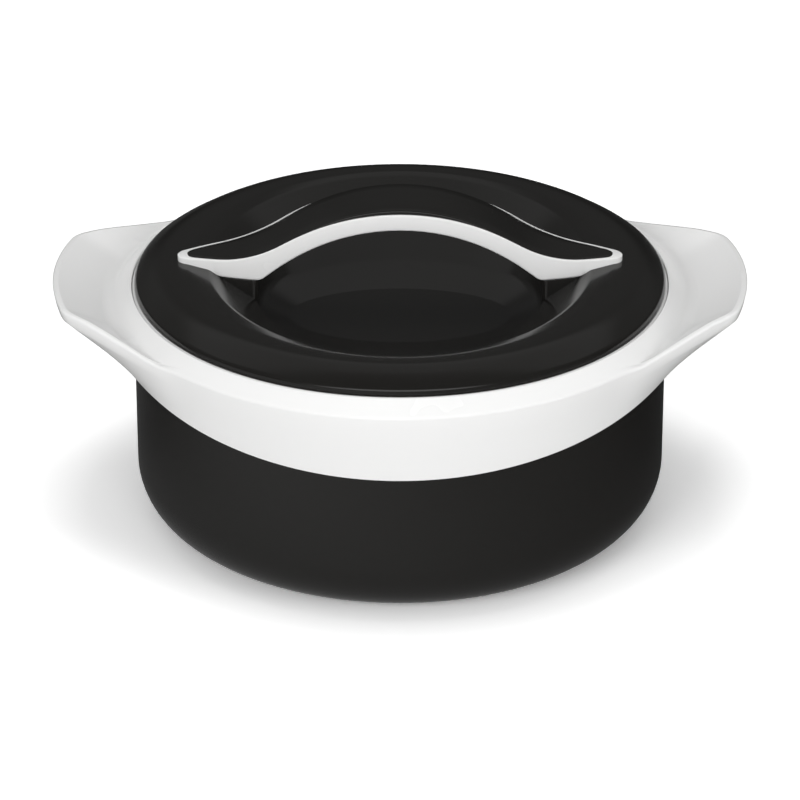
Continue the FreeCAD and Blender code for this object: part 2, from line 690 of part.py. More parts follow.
def under_line():
    """Bent line along the underside: level feet and the arch between them."""
    slope = math.tan(math.radians(HANDLE_ARCH_SLOPE))
    crown_z = HANDLE_TOP_Z - HANDLE_THICKNESS
    apex = crown_z + HANDLE_ARCH_ROUND * (1.0 / math.cos(math.radians(HANDLE_ARCH_SLOPE)) - 1.0)
    foot_x = (apex - PEDESTAL_Z) / slope
    half = [(foot_x, PEDESTAL_Z, HANDLE_FOOT_ROUND), (HANDLE_LENGTH + 5.0, PEDESTAL_Z, 0)]
    left = [(-x, z, r) for x, z, r in reversed(half)]
    return left + [(0, apex, HANDLE_ARCH_ROUND)] + half


def handle_bow():
    side = across(top_line(0.0) + list(reversed(under_line())))
    bow = side.common(handle_leaf(0.0).extrude(FreeCAD.Vector(0, 0, REACH)))
    crown_z = HANDLE_TOP_Z - HANDLE_THICKNESS
    under = [
        e for e in bow.Edges
        if e.BoundBox.ZMax < crown_z + 0.1 and e.BoundBox.XMax - e.BoundBox.XMin > 1.0
        and abs(e.BoundBox.YMin) > HANDLE_HALF_WIDTH / 2.0
        and e.BoundBox.ZLength > 1.0
    ]
    bow = bow.makeFillet(HANDLE_LOWER_EDGE, under)
    upper = [
        e for e in bow.Edges
        if e.BoundBox.ZMin > CREST_Z + 0.5 and e.BoundBox.ZMax > PEDESTAL_Z + 1.0
        and abs(e.BoundBox.YMin + e.BoundBox.YMax) > 0.5
        and min(e.BoundBox.XLength, 1.0) > 0.5 and e.BoundBox.ZMin > CREST_Z + HANDLE_END_RISE - 0.6
    ]
    seat = dome(0.0, LINER_TOP_Z).cut(basin(0.0))
    bow = bow.cut(seat)
    bow = bow.cut(insert_blank(INSERT_FIT, 0.0))
    for x in (-SCREW_X, SCREW_X):
        bow = bow.cut(cylinder(SCREW_PILOT_RADIUS, PEDESTAL_Z - 1.0, PEDESTAL_Z + SCREW_BITE + 0.4, x))
    for x in PEG_XS:
        bow = bow.cut(peg(x, INSERT_FIT))
    return cleaned(bow)


def handle_top_at(x):
    """Height of the handle's top line at a place along X, on its rounded crown or its slope."""
    slope = math.radians(HANDLE_TOP_SLOPE)
    if abs(x) < HANDLE_TOP_ROUND * math.sin(slope):
        return HANDLE_TOP_Z - HANDLE_TOP_ROUND + math.sqrt(HANDLE_TOP_ROUND ** 2 - x ** 2)
    apex = HANDLE_TOP_Z + HANDLE_TOP_ROUND * (1.0 / math.cos(slope) - 1.0)
    return apex - abs(x) * math.tan(slope)


def peg(x, fit):
    """Short peg under the insert, or with a fit the hole for it."""
    top = handle_top_at(x) - INSERT_DEPTH + 0.8
    return cylinder(PEG_RADIUS + fit, top - 0.8 - PEG_LENGTH - fit, top, x)


def insert_blank(fit, proud):
    """Insert before its edges are rounded, or the recess that takes it."""
    plan = leaf(
        HANDLE_LENGTH - INSERT_END_MARGIN + fit,
        HANDLE_HALF_WIDTH - INSERT_MARGIN + fit,
        INSERT_STRAIGHT,
        INSERT_FLANK + fit,
    )
    top = top_line(proud if fit == 0.0 else 10.0)
    bottom = top_line(-INSERT_DEPTH)
    band = across(top + list(reversed(bottom)))
    return band.common(plan.extrude(FreeCAD.Vector(0, 0, REACH)))


def handle_insert():
    blank = insert_blank(0.0, INSERT_PROUD)
    for x in PEG_XS:
        blank = blank.fuse(peg(x, 0.0))
    return cleaned(blank)


# Self-tapping screws from under the cover into the bow's ends
def handle_screws():
    screws = []
    head_z = CREST_Z - BOSS_DROP
    for x in (-SCREW_X, SCREW_X):
        screw = revolved([
            (0, head_z - SCREW_HEAD_HEIGHT, 0),
            (SCREW_HEAD_RADIUS, head_z - SCREW_HEAD_HEIGHT, 1.2),
            (SCREW_HEAD_RADIUS, head_z, 0),
            (SCREW_RADIUS, head_z, 0),
            (SCREW_RADIUS, PEDESTAL_Z + SCREW_BITE - 1.5, 0),
            (0.3, PEDESTAL_Z + SCREW_BITE, 0),
            (0, PEDESTAL_Z + SCREW_BITE, 0),
        ])
        screw.translate(FreeCAD.Vector(x, 0, 0))
        screws.append(screw)
    return Part.makeCompound(screws)


def main():
    os.makedirs("parts", exist_ok=True)
    nodes = {
        "outer_body": outer_body(),
        "body_plug": filling_plug(FOOT_DEPTH, BODY_WALL),
        "body_insulation": body_insulation(),
        "inner_bowl": inner_bowl(),
        "handle_collar": handle_collar(),
        "lid_cover": lid_cover(),
        "lid_liner": lid_liner(),
        "lid_insulation": lid_insulation(),
        "lid_plug": filling_plug(LINER_FLOOR_Z, LINER_WALL),
        "handle_bow": handle_bow(),
        "handle_insert": handle_insert(),
        "handle_screws": handle_screws(),
    }
    for name, shape in nodes.items():
        shape.exportStep("parts/" + name + ".step")
        box = shape.BoundBox
        print(
            name, "valid", shape.isValid(), "solids", len(shape.Solids), "faces", len(shape.Faces),
            "cm3 %.1f" % (shape.Volume / 1000.0),
            "x %.1f %.1f y %.1f %.1f z %.1f %.1f" % (box.XMin, box.XMax, box.YMin, box.YMax, box.ZMin, box.ZMax),
        )


main()
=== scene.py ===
import math

import bmesh
import bpy
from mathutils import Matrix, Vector


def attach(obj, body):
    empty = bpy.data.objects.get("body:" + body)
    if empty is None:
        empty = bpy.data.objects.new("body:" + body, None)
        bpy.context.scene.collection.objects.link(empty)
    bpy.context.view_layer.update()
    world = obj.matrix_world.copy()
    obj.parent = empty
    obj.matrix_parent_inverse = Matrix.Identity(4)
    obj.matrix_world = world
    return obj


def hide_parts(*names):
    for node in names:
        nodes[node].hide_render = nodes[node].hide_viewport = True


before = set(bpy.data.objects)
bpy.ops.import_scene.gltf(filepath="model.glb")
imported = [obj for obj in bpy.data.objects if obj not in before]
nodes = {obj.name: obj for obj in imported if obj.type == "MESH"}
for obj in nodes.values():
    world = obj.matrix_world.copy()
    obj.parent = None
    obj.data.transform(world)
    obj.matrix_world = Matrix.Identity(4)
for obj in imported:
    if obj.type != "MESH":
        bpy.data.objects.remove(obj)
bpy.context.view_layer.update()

# Camera: where the photographer stood, in metres and degrees
CAMERA_Y = -1.649
CAMERA_Z = 0.867
CAMERA_PITCH = 26.48
CAMERA_LENS = 198.2

# Moulded pieces in more detail than their solids, in millimetres
MM = 0.001
BODY_TOP_Z = 93.0
RIDGE_RADIUS = 118.3
RIDGE_Z = 96.1
SIDE_TAPER = 0.1927
RIM_TOP_Z = 101.7
FLANGE_FALL = 0.767
BORE_RADIUS = 110.6
SEAT_Z = 95.2
SKIRT_Z = 66.0
ARCH_RADIUS = 555.5
COLLAR_WALL = 2.3
EAR_LEAVE_ANGLE = 39.8
EAR_LEAVE_SINK = 1.0
EAR_CORNER = 14.0
EAR_TIP_RADIUS = 120.0
EAR_TIP_X = 143.3
EAR_RISE_X = 98.0
EAR_LEVEL_X = 128.0
EAR_SLOPE = 0.253
EAR_LEVEL_SLOPE = 0.079
EAR_RIM_HEIGHT = 4.2
KEEL_Z = 75.3
LIP_WIDTH = 2.6
VALLEY_RADIUS = 120.2
LINER_RADIUS = 110.4
LINER_WALL = 2.2
LINER_FLOOR_Z = 77.2
PLUG_RADIUS = 95.1
PLUG_HOLE_RADIUS = 9.0
LID_RADIUS = 109.4
SHOULDER_Z = 101.2
CREST_Z = 110.2
COVER_WALL = 2.2
# Ovals of the lid's pocket, from the floor up: half length, half width, depth below the crest
POCKET_OVALS = (
    (45.6, 26.0, 25.3),
    (58.5, 44.0, 20.3),
    (60.0, 66.0, 12.4),
    (78.5, 88.0, 0.9),
    (87.0, 91.5, 0.0),
)
POCKET_ROUNDS = (4.0, 5.0, 3.0, 5.0, 16.0)
PEDESTAL_Z = 106.6
PEDESTAL_X = 58.4
PEDESTAL_STEP = 1.1
PEDESTAL_STEPS = 24
HANDLE_LENGTH = 91.5
HANDLE_HALF_WIDTH = 15.0
HANDLE_STRAIGHT = 38.0
INSERT_STRAIGHT = 40.0
HANDLE_TOP_Z = 136.6
HANDLE_END_Z = 112.5
HANDLE_THICKNESS = 7.0
BOW_CROWN = 92.0
BOW_SLOPE = 30.5
INSERT_CROWN = 81.0
INSERT_SLOPE = 31.5
KNEE_ROUND = 60.0
END_SLOPE = 5.0
FOOT_X = 57.2
ARCH_SLOPE = 40.0
TIP_ROUND = 4.6
RECESS_DEPTH = 1.6
INSERT_PROUD = 2.0
INSERT_MARGIN = 1.1
INSERT_END_MARGIN = 4.0

# Colours, linear
BLACK = (0.0088, 0.0083, 0.0074)
WHITE = (0.83, 0.83, 0.825)
STEEL = (0.62, 0.62, 0.61)
FOAM = (0.78, 0.66, 0.36)

# Light
FLOOR_GAIN = 1.5
FLOOR_TONE = 0.7
SKY_STRENGTH = 0.44


# Materials
def new_material(name):
    material = bpy.data.materials.new(name)
    material.use_nodes = True
    return material, material.node_tree.nodes, material.node_tree.links


def noise(tree_nodes, links, scale, detail, coordinates):
    texture = tree_nodes.new("ShaderNodeTexNoise")
    texture.inputs["Scale"].default_value = scale
    texture.inputs["Detail"].default_value = detail
    links.new(coordinates, texture.inputs["Vector"])
    return texture.outputs["Fac"]


def spread(tree_nodes, links, value, low, high):
    """A 0 to 1 value mapped onto a range."""
    mapping = tree_nodes.new("ShaderNodeMapRange")
    mapping.inputs["From Min"].default_value = 0.3
    mapping.inputs["From Max"].default_value = 0.7
    mapping.inputs["To Min"].default_value = low
    mapping.inputs["To Max"].default_value = high
    links.new(value, mapping.inputs["Value"])
    return mapping.outputs["Result"]


def moulded_plastic(name, color, rough, grain):
    """Injection-moulded plastic: slight unevenness in gloss, and a very shallow orange peel."""
    material, tree_nodes, links = new_material(name)
    shader = tree_nodes["Principled BSDF"]
    place = tree_nodes.new("ShaderNodeTexCoord").outputs["Object"]
    shader.inputs["IOR"].default_value = 1.49
    cloud = noise(tree_nodes, links, 14.0, 3.0, place)
    links.new(spread(tree_nodes, links, cloud, rough[0], rough[1]), shader.inputs["Roughness"])
    tint = tree_nodes.new("ShaderNodeMix")
    tint.data_type = "RGBA"
    tint.inputs["A"].default_value = (*color, 1.0)
    tint.inputs["B"].default_value = (*[c * 0.965 for c in color], 1.0)
    links.new(noise(tree_nodes, links, 5.0, 2.0, place), tint.inputs["Factor"])
    links.new(tint.outputs["Result"], shader.inputs["Base Color"])
    bump = tree_nodes.new("ShaderNodeBump")
    bump.inputs["Distance"].default_value = 0.00002
    bump.inputs["Strength"].default_value = grain
    links.new(noise(tree_nodes, links, 420.0, 1.0, place), bump.inputs["Height"])
    links.new(bump.outputs["Normal"], shader.inputs["Normal"])
    return material


def drawn_steel(name):
    """Bright steel with fine rings from polishing on a lathe."""
    material, tree_nodes, links = new_material(name)
    shader = tree_nodes["Principled BSDF"]
    place = tree_nodes.new("ShaderNodeTexCoord").outputs["Object"]
    shader.inputs["Base Color"].default_value = (*STEEL, 1.0)
    shader.inputs["Metallic"].default_value = 1.0
    rings = tree_nodes.new("ShaderNodeTexWave")
    rings.wave_type = "RINGS"
    rings.rings_direction = "Z"
    rings.inputs["Scale"].default_value = 260.0
    rings.inputs["Distortion"].default_value = 2.0
    rings.inputs["Detail"].default_value = 3.0
    links.new(place, rings.inputs["Vector"])
    links.new(spread(tree_nodes, links, rings.outputs["Fac"], 0.16, 0.3), shader.inputs["Roughness"])
    bump = tree_nodes.new("ShaderNodeBump")
    bump.inputs["Distance"].default_value = 0.00003
    bump.inputs["Strength"].default_value = 0.35
    links.new(rings.outputs["Fac"], bump.inputs["Height"])
    links.new(bump.outputs["Normal"], shader.inputs["Normal"])
    return material


def rigid_foam(name):
    """Yellow poured foam with closed cells."""
    material, tree_nodes, links = new_material(name)
    shader = tree_nodes["Principled BSDF"]
    place = tree_nodes.new("ShaderNodeTexCoord").outputs["Object"]
    shader.inputs["Roughness"].default_value = 0.85
    cells = tree_nodes.new("ShaderNodeTexVoronoi")
    cells.inputs["Scale"].default_value = 900.0
    links.new(place, cells.inputs["Vector"])
    tint = tree_nodes.new("ShaderNodeMix")
    tint.data_type = "RGBA"
    tint.inputs["A"].default_value = (*FOAM, 1.0)
    tint.inputs["B"].default_value = (*[c * 0.8 for c in FOAM], 1.0)
    links.new(cells.outputs["Distance"], tint.inputs["Factor"])
    links.new(tint.outputs["Result"], shader.inputs["Base Color"])
    bump = tree_nodes.new("ShaderNodeBump")
    bump.inputs["Distance"].default_value = 0.0002
    links.new(cells.outputs["Distance"], bump.inputs["Height"])
    links.new(bump.outputs["Normal"], shader.inputs["Normal"])
    return material


black = moulded_plastic("black_plastic", BLACK, (0.16, 0.2), 0.25)
white = moulded_plastic("white_plastic", WHITE, (0.22, 0.28), 0.2)
steel = drawn_steel("drawn_steel")
foam = rigid_foam("rigid_foam")
finishes = {
    "outer_body": black,
    "body_plug": black,
    "body_insulation": foam,
    "inner_bowl": steel,
    "handle_collar": white,
    "lid_cover": black,
    "lid_liner": white,
    "lid_insulation": foam,
    "lid_plug": white,
    "handle_bow": white,
    "handle_insert": black,
    "handle_screws": steel,
}
for name, material in finishes.items():
    mesh = nodes[name].data
    mesh.materials.clear()
    mesh.materials.append(material)


# Shapes: skins over rings of points
def add_skin(points, faces, rings, around):
    """Closed skin over rings of points that go round, or that are capped at both ends."""
    base = len(points)
    count = len(rings[0])
    total = len(rings)
    points.extend([MM * c for c in point] for ring in rings for point in ring)
    for i in range(total if around else total - 1):
        first = base + i * count
        second = base + (i + 1) % total * count
        for k in range(count):
            m = (k + 1) % count
            faces.append((first + k, first + m, second + m, second + k))
    if not around:
        faces.append(tuple(range(base, base + count)))
        faces.append(tuple(range(base + (total - 1) * count, base + total * count)))


def loft(name, skins, material):
    """One piece from closed skins, each given as its rings and whether they go round."""
    points = []
    faces = []
    for rings, around in skins:
        add_skin(points, faces, rings, around)
    mesh = bpy.data.meshes.new(name)
    mesh.from_pydata(points, [], faces)
    model = bmesh.new()
    model.from_mesh(mesh)
    bmesh.ops.remove_doubles(model, verts=model.verts, dist=0.000001)
    bmesh.ops.recalc_face_normals(model, faces=model.faces)
    model.to_mesh(mesh)
    model.free()
    mesh.polygons.foreach_set("use_smooth", [True] * len(mesh.polygons))
    mesh.set_sharp_from_angle(angle=math.radians(38.0))
    mesh.materials.append(material)
    piece = bpy.data.objects.new(name, mesh)
    bpy.context.scene.collection.objects.link(piece)
    return piece


def rounded(corners, steps=4, limit=0.45):
    """Open line through (u, w, radius) corners, each turned by an arc of a fixed count of points."""
    places = [Vector((u, w)) for u, w, radius in corners]
    line = []
    for i, corner in enumerate(places):
        radius = corners[i][2]
        if radius == 0 or i in (0, len(places) - 1):
            line.append(corner)
            continue
        back = places[i - 1] - corner
        ahead = places[i + 1] - corner
        half = back.angle(ahead) / 2.0
        reach = min(max(radius / math.tan(half), 0.2), limit * back.length, limit * ahead.length)
        start = corner + back.normalized() * reach
        end = corner + ahead.normalized() * reach
        turn = math.pi - 2.0 * half
        if turn < 0.02:
            line.extend(start.lerp(end, k / steps) for k in range(steps + 1))
            continue
        inward = (back.normalized() + ahead.normalized()).normalized()
        centre = corner + inward * (reach * math.tan(half) / math.sin(half))
        for k in range(steps + 1):
            f = k / steps
            first = (start - centre) * math.sin((1.0 - f) * turn)
            second = (end - centre) * math.sin(f * turn)
            line.append(centre + (first + second) / math.sin(turn))
    return line


def soft_ramp(value, width):
    """Zero below 0 and the value itself above, with a soft bend between."""
    return 0.5 * (value + math.sqrt(value ** 2 + width ** 2))


def swept(section, angles):
    """Rings of points from a function that gives a (radius, z) section for an angle."""
    return [[(u * math.cos(a), u * math.sin(a), w) for u, w in section(a)] for a in angles]


def ear_radius(angle):
    """Distance from the axis to an ear's outline: side, corner and tip."""
    leave = math.radians(EAR_LEAVE_ANGLE)
    normal = Vector((math.sin(leave), math.cos(leave)))
    along = Vector((math.cos(leave), -math.sin(leave)))
    distance = RIDGE_RADIUS - EAR_LEAVE_SINK
    tip_centre = Vector((EAR_TIP_X - EAR_TIP_RADIUS, 0.0))
    start = normal * (distance - EAR_CORNER) - tip_centre
    middle = start.dot(along)
    span = start.dot(start) - (EAR_TIP_RADIUS - EAR_CORNER) ** 2
    corner = normal * (distance - EAR_CORNER) + along * (math.sqrt(middle ** 2 - span) - middle)
    bend = corner + normal * EAR_CORNER
    join = corner + (corner - tip_centre).normalized() * EAR_CORNER
    normal_angle = math.pi / 2.0 - leave
    if angle >= normal_angle:
        return distance
    if angle >= math.atan2(bend.y, bend.x):
        return distance / math.cos(angle - normal_angle)
    centre, radius = (corner, EAR_CORNER)
    if angle < math.atan2(join.y, join.x):
        centre, radius = (tip_centre, EAR_TIP_RADIUS)
    reach = centre.x * math.cos(angle) + centre.y * math.sin(angle)
    return reach + math.sqrt(reach ** 2 - centre.dot(centre) + radius ** 2)


def flange_z(radius):
    return RIM_TOP_Z - (radius - BORE_RADIUS - 0.4) * FLANGE_FALL


def collar_section(angle):
    """Section of the collar at an angle: skirt or keel, lip, dish, slope, rim, seat and inside."""
    fold = math.acos(min(1.0, abs(math.cos(angle))))
    ring_grow = soft_ramp(-EAR_LEAVE_SINK, 0.8)
    grow = soft_ramp(ear_radius(fold) - RIDGE_RADIUS, 0.8)
    outer = RIDGE_RADIUS + grow - ring_grow
    x = outer * math.cos(fold)
    lip_z = RIDGE_Z + EAR_SLOPE * soft_ramp(x - EAR_RISE_X, 2.5)
    lip_z -= (EAR_SLOPE - EAR_LEVEL_SLOPE) * soft_ramp(x - EAR_LEVEL_X, 4.0)
    seam_z = RIDGE_Z - EAR_RIM_HEIGHT + 0.8 * EAR_SLOPE * (max(x, 70.0) - EAR_RISE_X)

    def side(z):
        flare = min(1.0, soft_ramp(z - KEEL_Z, 2.0) / (seam_z - KEEL_Z))
        level = RIDGE_Z + (lip_z - RIDGE_Z) * flare
        return RIDGE_RADIUS - (level - z) * SIDE_TAPER + (grow - ring_grow) * flare

    # The arch's height depends on how far out the skirt is there, and settles in a few rounds
    low_z = SKIRT_Z
    for _ in range(4):
        low_x = side(low_z) * math.cos(fold)
        low_z = SKIRT_Z + ARCH_RADIUS - math.sqrt(ARCH_RADIUS ** 2 - low_x ** 2)
    heights = [low_z + (seam_z - low_z) * i / 9 for i in range(10)]
    inner = outer - LIP_WIDTH
    valley = min(VALLEY_RADIUS, inner - 0.7)
    share = min(1.0, grow / 8.0)
    corners = [(side(z), z, 0) for z in heights]
    corners += [
        (outer, lip_z, 1.5),
        (inner, max(lip_z, flange_z(inner)), 1.2),
        (valley, flange_z(valley), 6.0),
        (BORE_RADIUS + 0.9, RIM_TOP_Z - 0.38, 0),
        (BORE_RADIUS + 0.5, RIM_TOP_Z - 0.12, 0),
        (BORE_RADIUS + 0.25, RIM_TOP_Z - 0.08, 0),
        (BORE_RADIUS + 0.06, RIM_TOP_Z - 0.2, 0),
        (BORE_RADIUS, RIM_TOP_Z - 0.5, 0),
        (BORE_RADIUS, SEAT_Z, 0),
        (BORE_RADIUS - 5.0, SEAT_Z, 0),
        (BORE_RADIUS - 5.0, SEAT_Z - 4.6, 0),
        (BORE_RADIUS - 9.0, SEAT_Z - 4.6, 0),
        (BORE_RADIUS - 9.0, SEAT_Z - 1.7, 0),
        (BORE_RADIUS - 12.0, SEAT_Z - 1.7, 0),
        (BORE_RADIUS - 12.0, SEAT_Z - 6.8, 0),
        (BORE_RADIUS - 5.5, SEAT_Z - 6.8, 0),
        (BORE_RADIUS - 5.5, SEAT_Z - 11.2, 0),
        (BORE_RADIUS - 3.3, SEAT_Z - 11.2, 0),
        (BORE_RADIUS - 3.3, BODY_TOP_Z, 0),
        (BORE_RADIUS + 2.2, BODY_TOP_Z, 0),
        (BORE_RADIUS + 2.2, RIM_TOP_Z - 3.8, 0),
        (valley - 2.6 * (1.0 - share), flange_z(valley) - 2.7 - 0.5 * (1.0 - share), 0),
        (outer - COLLAR_WALL - 0.4 - share, lip_z - 3.1, 0),
    ]
    corners += [(side(z) - COLLAR_WALL, z, 0) for z in reversed(heights)]
    return rounded(corners)


def collar_angles():
    """Angles round the collar, close together along the ears."""
    quarter = [math.radians(0.4 * i) for i in range(146)]
    quarter += [math.radians(58.0 + 1.6 * i) for i in range(1, 20)]
    half = quarter + [math.pi / 2.0] + [math.pi - a for a in reversed(quarter)]
    return half + [math.pi + a for a in half[1:-1]]


def liner_section(_angle):
    """Section of the liner: rim, plug wall and floor, round the hole for the filling plug."""
    return rounded([
        (PLUG_HOLE_RADIUS, LINER_FLOOR_Z, 0),
        (PLUG_RADIUS, LINER_FLOOR_Z, 6.0),
        (PLUG_RADIUS, SEAT_Z, 0.4),
        (LINER_RADIUS, SEAT_Z + 0.05, 0.3),
        (LINER_RADIUS, SHOULDER_Z, 0.6),
        (LID_RADIUS - 0.7, SHOULDER_Z, 0),
        (LID_RADIUS - 0.7, SEAT_Z + LINER_WALL, 0),
        (PLUG_RADIUS - LINER_WALL, SEAT_Z + LINER_WALL, 0),
        (PLUG_RADIUS - LINER_WALL, LINER_FLOOR_Z + LINER_WALL, 3.8),
        (PLUG_HOLE_RADIUS, LINER_FLOOR_Z + LINER_WALL, 0),
    ])


def oval_radius(oval, angle):
    """Distance from the centre to an oval's outline at an angle."""
    a, b = oval[:2]
    return a * b / math.hypot(b * math.cos(angle), a * math.sin(angle))


def cover_section(angle):
    """Section of the lid's cover: pocket in steps, brow, edge, tongue and underside."""
    pocket = [(oval_radius(oval, angle), CREST_Z - oval[2]) for oval in POCKET_OVALS]
    corners = [(0.0, pocket[0][1], 0)]
    corners += [(u, w, radius) for (u, w), radius in zip(pocket, POCKET_ROUNDS)]
    corners += [
        (LID_RADIUS - 9.4, CREST_Z, 22.0),
        (LID_RADIUS, SHOULDER_Z + 3.0, 3.5),
        (LID_RADIUS, SHOULDER_Z, 0),
        (LID_RADIUS - 0.8, SHOULDER_Z, 0),
        (LID_RADIUS - 0.8, SEAT_Z + 2.3, 0),
        (LID_RADIUS - 3.0, SEAT_Z + 2.3, 0),
        (LID_RADIUS - 3.0, SHOULDER_Z, 0),
        (LID_RADIUS - 4.0, SHOULDER_Z + 3.0, 0),
        (LID_RADIUS - 11.0, CREST_Z - COVER_WALL - 0.3, 0),
    ]
    corners += [(u, w - COVER_WALL - 0.3, 0) for u, w in reversed(pocket)]
    corners.append((0.0, pocket[0][1] - COVER_WALL - 0.3, 0))
    return rounded(corners)


def pedestal_rings(side):
    """Rings up one of the two blocks that carry the handle's ends."""
    levels = (
        (0.6, CREST_Z - 20.0),
        (0.6, PEDESTAL_Z - 0.5),
        (0.75, PEDESTAL_Z - 0.12),
        (1.1, PEDESTAL_Z),
    )
    rings = []
    for inset, z in levels:
        places = [PEDESTAL_X + inset - 0.6 + i * PEDESTAL_STEP for i in range(PEDESTAL_STEPS)]
        half = [handle_half_width(x) - inset for x in places]
        half[0] -= 0.8
        ring = [(side * x, w, z) for x, w in zip(places, half)]
        rings.append(ring + [(x, -w, z) for x, w, z in reversed(ring)])
    return rings


def leaf_half_width(x, length, half_width, straight, tip):
    """Half width of a long leaf at x: straight middle, curved flanks, round tips."""
    reach = length - straight
    flank = ((reach - tip) ** 2 + half_width ** 2 - tip ** 2) / (2.0 * (half_width - tip))
    join = straight + flank * (reach - tip) / (flank - tip)
    x = abs(x)
    if x <= straight:
        return half_width
    if x <= join:
        return half_width - flank + math.sqrt(flank ** 2 - (x - straight) ** 2)
    return math.sqrt(max(tip ** 2 - (x - length + tip) ** 2, 0.0))


def handle_half_width(x):
    return leaf_half_width(x, HANDLE_LENGTH, HANDLE_HALF_WIDTH, HANDLE_STRAIGHT, TIP_ROUND)


def insert_half_width(x):
    length = HANDLE_LENGTH - INSERT_END_MARGIN
    return leaf_half_width(x, length, HANDLE_HALF_WIDTH - INSERT_MARGIN, INSERT_STRAIGHT, TIP_ROUND)


def height_at(line, x):
    """Height of an open line of points at a place along it."""
    for before, after in zip(line, line[1:]):
        if x <= after.x:
            return before.y + (after.y - before.y) * (x - before.x) / (after.x - before.x)
    return line[-1].y


def humped_line(top_z, top_round, slope_angle, end_z):
    """Right half of a line over the handle: round hump, slope, and an end that is nearly level."""
    slope = math.tan(math.radians(slope_angle))
    end_slope = math.tan(math.radians(END_SLOPE))
    apex = top_z + top_round * (1.0 / math.cos(math.radians(slope_angle)) - 1.0)
    knee = (apex - end_z - end_slope * HANDLE_LENGTH) / (slope - end_slope)
    knee_z = apex - slope * knee
    far = HANDLE_LENGTH + 5.0
    return rounded([
        (-knee, knee_z, 0),
        (0, apex, top_round),
        (knee, knee_z, KNEE_ROUND),
        (far, end_z - 5.0 * end_slope, 0),
    ], 24, 0.95)


def arch_line():
    """Right half of the line under the handle: the arch and a level foot."""
    slope = math.radians(ARCH_SLOPE)
    apex = PEDESTAL_Z + FOOT_X * math.tan(slope)
    arch_round = (apex - HANDLE_TOP_Z + HANDLE_THICKNESS) / (1.0 / math.cos(slope) - 1.0)
    return rounded([
        (-FOOT_X, PEDESTAL_Z, 0),
        (0, apex, arch_round),
        (FOOT_X, PEDESTAL_Z, 4.0),
        (HANDLE_LENGTH + 5.0, PEDESTAL_Z, 0),
    ], 24, 0.95)


def stations(length):
    """Places along a leaf, closer together towards its tips."""
    return [length * math.sin(math.pi / 2.0 * i / 90) for i in range(-89, 90)]


def cover_height(x, y):
    """Height of the lid's cover at a place."""
    line = cover_section(math.atan2(y, x))
    radius = math.hypot(x, y)
    for before, after in zip(line, line[1:]):
        if before.x <= radius < after.x:
            return before.y + (after.y - before.y) * (radius - before.x) / (after.x - before.x)
    return SHOULDER_Z


bow_top = humped_line(HANDLE_TOP_Z, BOW_CROWN, BOW_SLOPE, HANDLE_END_Z)
insert_top = humped_line(HANDLE_TOP_Z + INSERT_PROUD, INSERT_CROWN, INSERT_SLOPE, HANDLE_END_Z + 0.35)
bow_under = arch_line()


def bow_ring(x):
    """Section of the bow at x: rounded under edges, upright sides and the recess for the insert."""
    half = handle_half_width(x)
    top = height_at(bow_top, abs(x))
    low = min(height_at(bow_under, abs(x)), top - 1.2)
    recess = min(insert_half_width(x) + 0.15, half - 0.2) if insert_half_width(x) > 0.0 else 0.1
    depth = RECESS_DEPTH * min(1.0, insert_half_width(x) / 0.8)
    right = rounded([
        (0.02, low, 0),
        (half, low, 1.1),
        (half, top, 0.4),
        (recess, top, 0),
        (recess, top - depth - 0.01, 0),
        (0.02, top - depth - 0.01, 0),
    ])
    ring = [(x, u, w) for u, w in right] + [(x, -u, w) for u, w in reversed(right)]
    if abs(x) < FOOT_X:
        return ring
    seated = []
    for px, py, pz in ring:
        if pz < top - depth - 0.5:
            pz = min(max(pz, cover_height(px, py) + 0.03), top - 0.6)
        seated.append((px, py, pz))
    return seated


def insert_ring(x):
    """Section of the insert at x, crowned a little, with rounded top edges."""
    half = max(insert_half_width(x), 0.15)
    top = height_at(insert_top, abs(x))
    low = height_at(bow_top, abs(x)) - RECESS_DEPTH
    right = rounded([
        (0.02, low, 0),
        (half, low, 0),
        (half, max(top - 0.25, low + 0.4), 0.9),
        (0.6 * half, top, 2.0),
        (0.02, top + 0.02, 0),
    ])
    return [(x, u, w) for u, w in right] + [(x, -u, w) for u, w in reversed(right)]


def add_moulded_pieces():
    """The collar, liner, cover, bow and insert, each in place of its plainer solid."""
    round_angles = [math.radians(2.0 * i) for i in range(180)]
    length = HANDLE_LENGTH - INSERT_END_MARGIN
    cover = [(swept(cover_section, round_angles), True)]
    cover += [(pedestal_rings(side), False) for side in (-1, 1)]
    bow = [([bow_ring(x) for x in stations(HANDLE_LENGTH)], False)]
    insert = [([insert_ring(x) for x in stations(length)], False)]
    made = [
        ("collar_moulding", [(swept(collar_section, collar_angles()), True)], white, "handle_collar"),
        ("liner_moulding", [(swept(liner_section, round_angles), True)], white, "lid_liner"),
        ("cover_moulding", cover, black, "lid_cover"),
        ("bow_moulding", bow, white, "handle_bow"),
        ("insert_moulding", insert, black, "handle_insert"),
    ]
    for name, skins, material, node in made:
        piece = loft(name, skins, material)
        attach(piece, "casserole" if node == "handle_collar" else "lid")
        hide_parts(node)


add_moulded_pieces()


# Floor and background
def light_path(tree_nodes, kind):
    return tree_nodes.new("ShaderNodeLightPath").outputs[kind]


def smooth_step(tree_nodes, links, value, low, high, start, end):
    """A value between low and high turned into start to end with a soft run."""
    mapping = tree_nodes.new("ShaderNodeMapRange")
    mapping.interpolation_type = "SMOOTHSTEP"
    mapping.inputs["From Min"].default_value = low
    mapping.inputs["From Max"].default_value = high
    mapping.inputs["To Min"].default_value = start
    mapping.inputs["To Max"].default_value = end
    links.new(value, mapping.inputs["Value"])
    return mapping.outputs["Result"]


